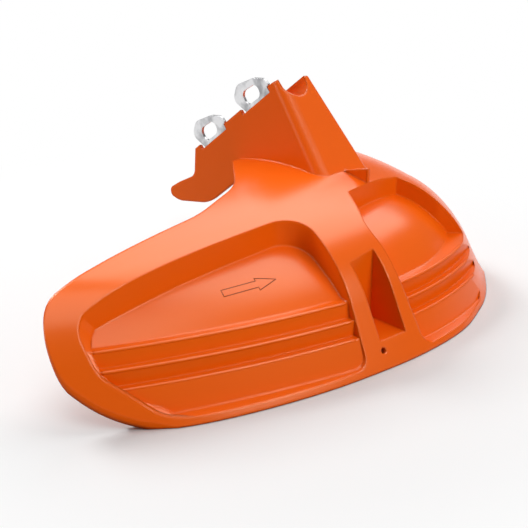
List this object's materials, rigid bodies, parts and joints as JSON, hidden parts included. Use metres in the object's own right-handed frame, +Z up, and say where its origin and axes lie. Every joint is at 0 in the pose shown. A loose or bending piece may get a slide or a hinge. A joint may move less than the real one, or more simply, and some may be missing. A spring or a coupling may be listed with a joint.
{
  "type": "trimmer blade guard",
  "caption": "Moulded orange trimmer blade guard: open hood with stepped recesses, a pocket, a sloping neck that cups the tube and metal strap eyes.",
  "frame": {"origin": "bottom centre of the bounding box, on the plane the rim stands on", "axes": "+X towards the skirt, +Y along the rim (longest extent), +Z up"},
  "size_m": [0.3097, 0.3952, 0.166],
  "materials": {
    "orange_plastic": "satin gloss",
    "bright_steel": "bright zinc plate"
  },
  "bodies": {
    "root": {"guard_shell": "orange_plastic", "lower_eye": "bright_steel", "upper_eye": "bright_steel"}
  },
  "joints": []
}
